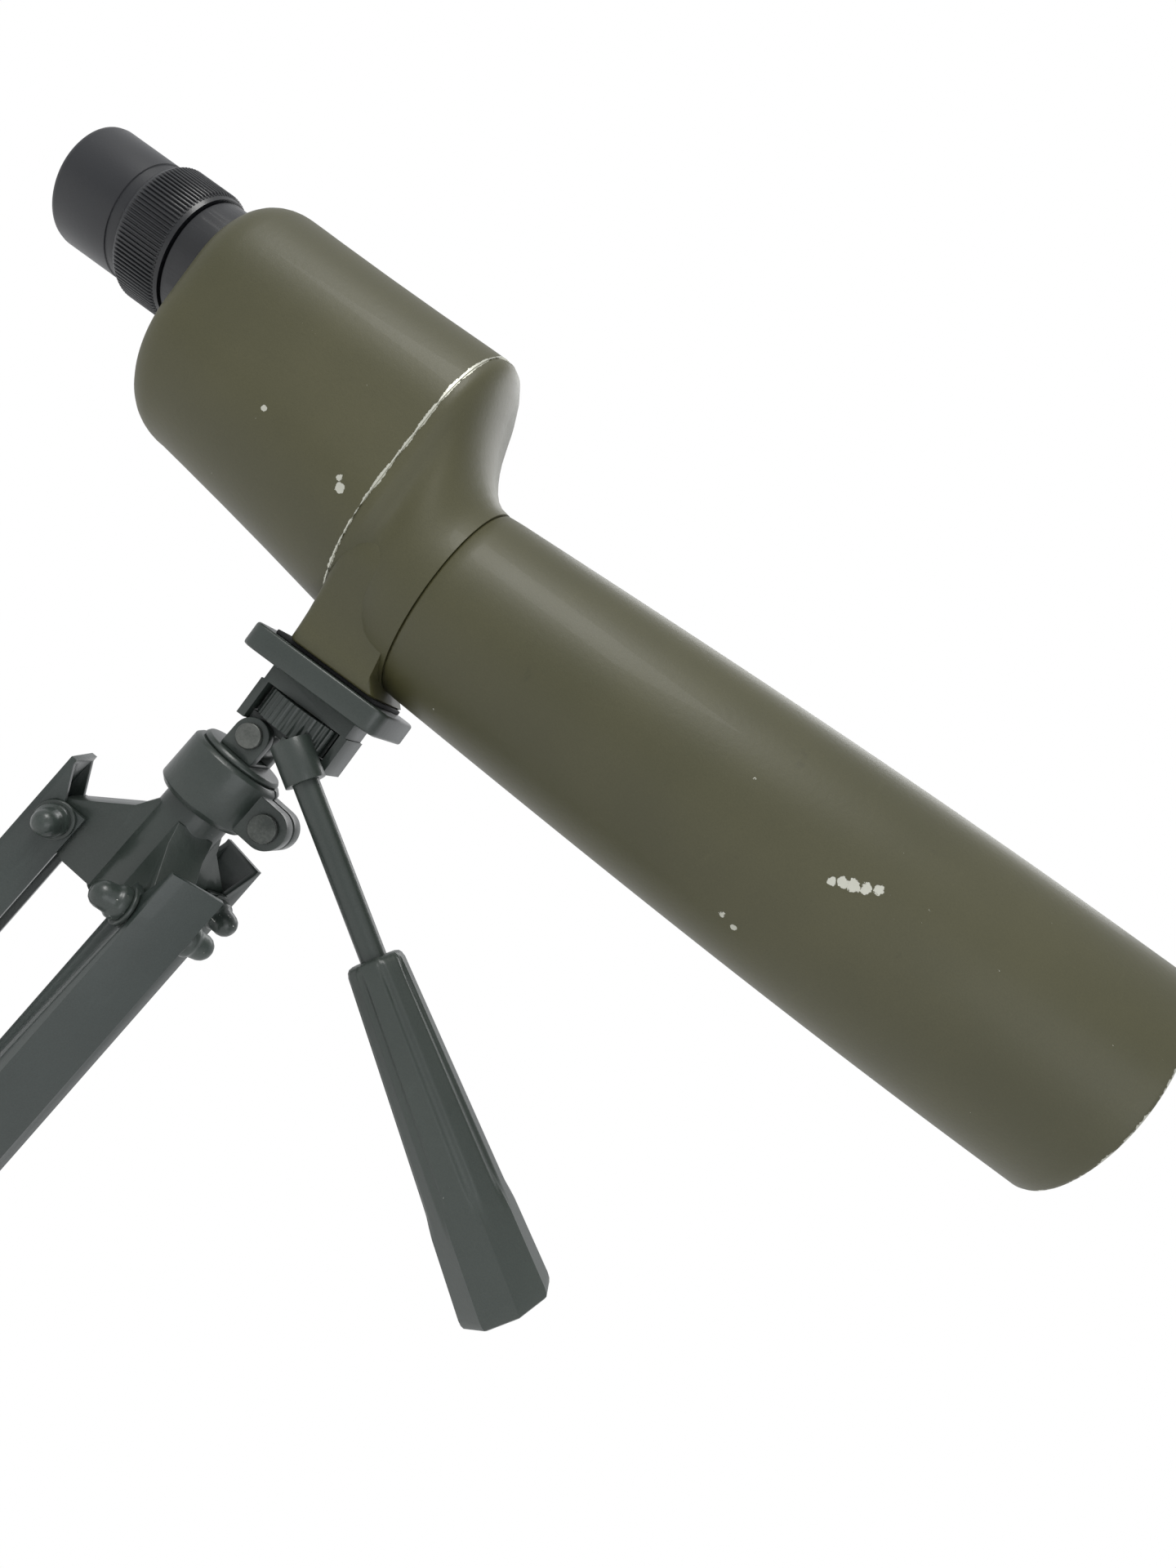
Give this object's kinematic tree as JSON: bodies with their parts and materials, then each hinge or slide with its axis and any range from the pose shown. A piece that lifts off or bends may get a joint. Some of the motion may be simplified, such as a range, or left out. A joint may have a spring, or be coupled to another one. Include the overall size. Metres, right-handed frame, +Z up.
{
  "type": "spotting scope on a folding tabletop tripod",
  "caption": "Straight spotting scope with an offset eyepiece, knurled focus ring and flared objective barrel, on a small pan-and-tilt stand with folding channel legs.",
  "frame": {"origin": "point on the ground under the stand's pan axis, with the legs folded and standing", "axes": "+X forward along the scope, towards the objective; +Y to the scope's left; +Z up along the pan axis"},
  "size_m": [0.352, 0.0676, 0.3321],
  "materials": {
    "stand_enamel": "painted, semi-gloss, worn",
    "leg_enamel": "semi-gloss, worn",
    "grip_enamel": "painted, satin, worn",
    "olive_enamel": "painted, satin, chipped",
    "black_anodised": "satin",
    "inner_black": "matt",
    "bright_steel": "worn",
    "plain_brass": "dull",
    "foot_rubber": "matt",
    "optical_glass": "polished, coated"
  },
  "bodies": {
    "stand": {"hub": "stand_enamel", "azimuth_spindle": "plain_brass", "pivot_bolts": "bright_steel", "acorn_nuts": "stand_enamel", "washers": "stand_enamel"},
    "rear_leg": {"leg_rear": "leg_enamel", "foot_rear": "foot_rubber"},
    "left_leg": {"leg_left": "leg_enamel", "foot_left": "foot_rubber"},
    "right_leg": {"leg_right": "leg_enamel", "foot_right": "foot_rubber"},
    "azimuth": {"azimuth_drum": "stand_enamel", "azimuth_disc": "stand_enamel", "tilt_yoke": "stand_enamel", "tilt_pin": "bright_steel"},
    "azimuth_clamp": {"clamp_screw": "bright_steel"},
    "scope": {"tilt_neck": "stand_enamel", "top_plate": "stand_enamel", "plate_pad": "foot_rubber", "body_casting": "olive_enamel", "prism_cover": "olive_enamel", "prism_cage": "inner_black", "prism_front": "optical_glass", "prism_rear": "optical_glass", "cover_screws": "plain_brass", "objective_barrel": "olive_enamel", "barrel_seal": "foot_rubber", "baffles": "inner_black", "objective_cell": "inner_black", "objective_crown": "optical_glass", "objective_flint": "optical_glass", "objective_retainer": "inner_black", "eyepiece_neck": "black_anodised"},
    "mounting_wheel": {"thumb_wheel": "stand_enamel", "mounting_stud": "plain_brass"},
    "pan_handle": {"handle_rod": "stand_enamel", "handle_grip": "grip_enamel"},
    "focus": {"focus_ring": "black_anodised", "focus_set_screw": "bright_steel"},
    "eyepiece": {"eyecup_tube": "black_anodised", "eye_lens": "optical_glass", "field_lens": "optical_glass", "eyepiece_retainer": "inner_black"}
  },
  "joints": [
    {"name": "rear_leg_fold", "type": "hinge", "parent": "stand", "child": "rear_leg", "pos_m": [-0.02363, -0.00417, 0.168], "axis": [-0.1736, 0.9848, 0], "range_deg": [0, 24]},
    {"name": "left_leg_fold", "type": "hinge", "parent": "stand", "child": "left_leg", "pos_m": [0.00821, 0.02255, 0.168], "axis": [0.9397, -0.342, 0], "range_deg": [0, 24]},
    {"name": "right_leg_fold", "type": "hinge", "parent": "stand", "child": "right_leg", "pos_m": [0.01543, -0.01838, 0.168], "axis": [-0.766, -0.6428, 0], "range_deg": [0, 24]},
    {"name": "pan", "type": "hinge", "parent": "stand", "child": "azimuth", "pos_m": [0, 0, 0.1925], "axis": [0, 0, 1], "continuous": true},
    {"name": "azimuth_clamp_turn", "type": "hinge", "parent": "azimuth", "child": "azimuth_clamp", "pos_m": [0.018, 0, 0.20025], "axis": [0, 1, 0], "continuous": true},
    {"name": "tilt", "type": "hinge", "parent": "azimuth", "child": "scope", "pos_m": [0, 0, 0.2158], "axis": [0, 1, 0], "range_deg": [-15, 20]},
    {"name": "wheel_turn", "type": "hinge", "parent": "scope", "child": "mounting_wheel", "pos_m": [0.00645, 0, 0.22239], "axis": [-0.0872, 0, 0.9962], "continuous": true},
    {"name": "handle_twist", "type": "hinge", "parent": "scope", "child": "pan_handle", "pos_m": [0.01157, -0.012, 0.22123], "axis": [0.891, 0, -0.454], "continuous": true},
    {"name": "focus_turn", "type": "hinge", "parent": "scope", "child": "focus", "pos_m": [-0.10267, 0, 0.29927], "axis": [0.9962, 0, 0.0872], "range_deg": [-110, 110]},
    {"name": "focus_slide", "type": "slide", "parent": "scope", "child": "eyepiece", "axis": [0.9962, 0, 0.0872], "range_m": [-0.0027, 0.0027]}
  ],
  "couplings": [
    {"joint": "focus_turn", "follows": "focus_slide", "rad_per_m": 700}
  ]
}
